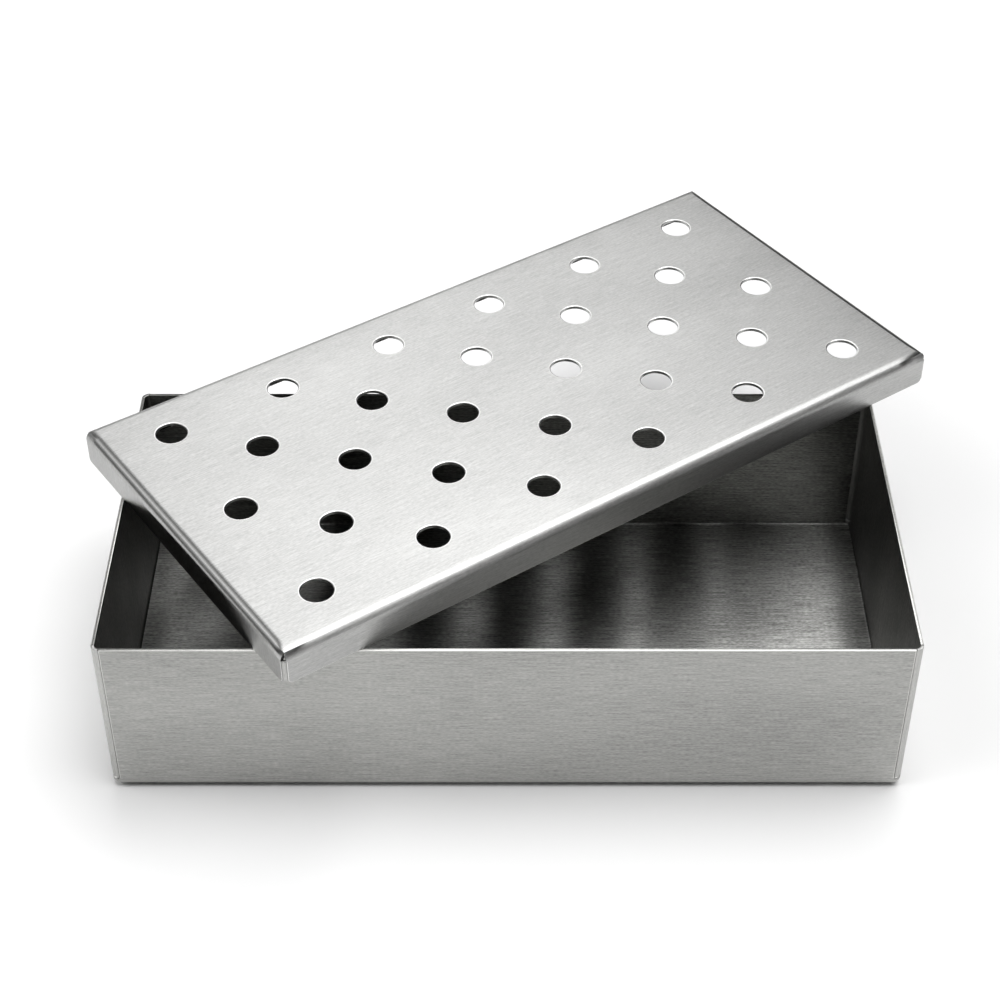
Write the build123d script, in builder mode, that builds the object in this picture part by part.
"""Smoker box for a grill: an open tray and a loose, perforated lid, both folded from stainless sheet.

Frame: origin at the middle of the tray's underside, +X along the tray, +Z up, millimetres.
The lid lies askew on the tray's rim, as it is set down while the tray is filled with wood chips.
"""
import os
from math import cos, radians, sin

from build123d import *

# Sheet that both pieces are folded from
sheet = 1.0
edge_break = 0.15

# Tray
tray_length = 230.0
tray_width = 115.0
tray_height = 55.0
tray_floor_bend = 1.6
tray_corner_radius = 2.4
tray_seam_foot = 0.6

# Lid, with the play that it has round the tray when it is closed
lid_play_long = 1.8
lid_play_across = 0.3
lid_depth = 11.2
lid_bend = 3.2
lid_seam = 1.3
lid_flange_round = 1.5
lid_weld_foot = 0.9
lid_weld_head = 3.0

# Smoke holes, in staggered rows
hole_diameter = 9.5
hole_pitch_long = 38.7
hole_pitch_across = 21.0
holes_in_outer_row = 6
hole_rows = 5

# How the lid lies on the rim: its turn, and how far its left and near corners stand out past the tray
lid_turn_angle = 35.0
lid_overhang_left = 12.6
lid_overhang_near = 13.4

# Sizes that follow from these
lid_length = tray_length + 2 * (lid_play_long + sheet)
lid_width = tray_width + 2 * (lid_play_across + sheet)
floor_bend_inside = tray_floor_bend - sheet
corner_inside = tray_corner_radius - sheet
lid_bend_inside = lid_bend - sheet
seam_foot = max(tray_floor_bend, tray_corner_radius) + tray_seam_foot
rim_round = min(edge_break, sheet / 3)
turn_cos = cos(radians(lid_turn_angle))
turn_sin = sin(radians(lid_turn_angle))
lid_shift_x = (lid_length * turn_cos + lid_width * turn_sin - tray_length) / 2 - lid_overhang_left
lid_shift_y = (lid_length * turn_sin + lid_width * turn_cos - tray_width) / 2 - lid_overhang_near
rim_plane = Plane(Location((lid_shift_x, lid_shift_y, tray_height), (0, 0, lid_turn_angle)))


def four_corners(reach_x, reach_y):
    """The corners of a rectangle with these half sizes."""
    return [(side_x * reach_x, side_y * reach_y) for side_x in (-1, 1) for side_y in (-1, 1)]


# Room inside the tray, with the inside radii of its folds
with BuildPart() as tray_room:
    with BuildSketch(Plane.XY.offset(sheet)):
        RectangleRounded(tray_length - 2 * sheet, tray_width - 2 * sheet, corner_inside)
    extrude(amount=tray_height)
    fillet(tray_room.faces().sort_by(Axis.Z)[0].edges(), floor_bend_inside)

# Finished skin of the tray: floor, four walls and dressed corners in one
with BuildPart() as tray_skin:
    with BuildSketch():
        RectangleRounded(tray_length, tray_width, tray_corner_radius)
    extrude(amount=tray_height)
    fillet(tray_skin.faces().sort_by(Axis.Z)[0].edges(), tray_floor_bend)
    add(tray_room.part, mode=Mode.SUBTRACT)
    fillet(tray_skin.faces().sort_by(Axis.Z)[-1].edges(), rim_round)

# Tray blank: the floor and four folded walls, open along each upright corner
with BuildPart() as tray:
    add(tray_skin.part)
    with BuildSketch(Plane.XY.offset(seam_foot)):
        with Locations(*four_corners(tray_length / 2, tray_width / 2)):
            Rectangle(2 * tray_corner_radius, 2 * tray_corner_radius)
    extrude(amount=tray_height, mode=Mode.SUBTRACT)

# Upright weld runs that close the four corners of the tray, dressed to the radius of the skin
with BuildPart() as tray_corner_welds:
    add(tray_skin.part)
    add(tray.part, mode=Mode.SUBTRACT)

# Room inside the lid, with the inside radius of its folds
with BuildPart() as lid_room:
    with BuildSketch(rim_plane):
        Rectangle(lid_length - 2 * sheet, lid_width - 2 * sheet)
    extrude(amount=lid_depth - sheet)
    fillet(lid_room.faces().sort_by(Axis.Z)[-1].edges(), lid_bend_inside)

# Lid blank: top plate, four folded flanges with open corners, and the staggered smoke holes
with BuildPart() as lid:
    with BuildSketch(rim_plane):
        Rectangle(lid_length, lid_width)
    extrude(amount=lid_depth)
    fillet(lid.faces().sort_by(Axis.Z)[-1].edges(), lid_bend)
    add(lid_room.part, mode=Mode.SUBTRACT)
    with BuildSketch(rim_plane):
        with Locations(*four_corners(lid_length / 2, lid_width / 2)):
            Rectangle(2 * lid_seam, 2 * lid_seam)
        for row in range(hole_rows):
            row_offset = (row - (hole_rows - 1) / 2) * hole_pitch_across
            with Locations((0, row_offset)):
                with GridLocations(hole_pitch_long, 0, holes_in_outer_row - row % 2, 1):
                    Circle(hole_diameter / 2)
    extrude(amount=lid_depth, mode=Mode.SUBTRACT)
    # The blank's flange ends are rounded off where they meet at the lid's lower corners
    flange_ends = lid.edges().group_by(Axis.Z)[0].sort_by(SortBy.LENGTH)[:8]
    fillet(flange_ends, lid_flange_round)

# Short weld beads in the lid's open corners, rounded off from one flange to the next
with BuildPart() as lid_corner_welds:
    with BuildSketch(rim_plane.offset(lid_weld_foot)):
        with Locations((lid_length / 2 - lid_seam, lid_width / 2 - lid_seam)):
            Circle(lid_seam)
            Rectangle(lid_seam, lid_seam, align=(Align.MIN, Align.MIN), mode=Mode.INTERSECT)
        mirror(about=Plane.YZ)
        mirror(about=Plane.XZ)
    extrude(amount=lid_depth - lid_weld_foot - lid_weld_head)

tray.part.label = "tray"
tray_corner_welds.part.label = "tray_corner_welds"
lid.part.label = "lid"
lid_corner_welds.part.label = "lid_corner_welds"

os.makedirs("parts", exist_ok=True)
export_step(tray.part, "parts/tray.step")
export_step(tray_corner_welds.part, "parts/tray_corner_welds.step")
export_step(lid.part, "parts/lid.step")
export_step(lid_corner_welds.part, "parts/lid_corner_welds.step")
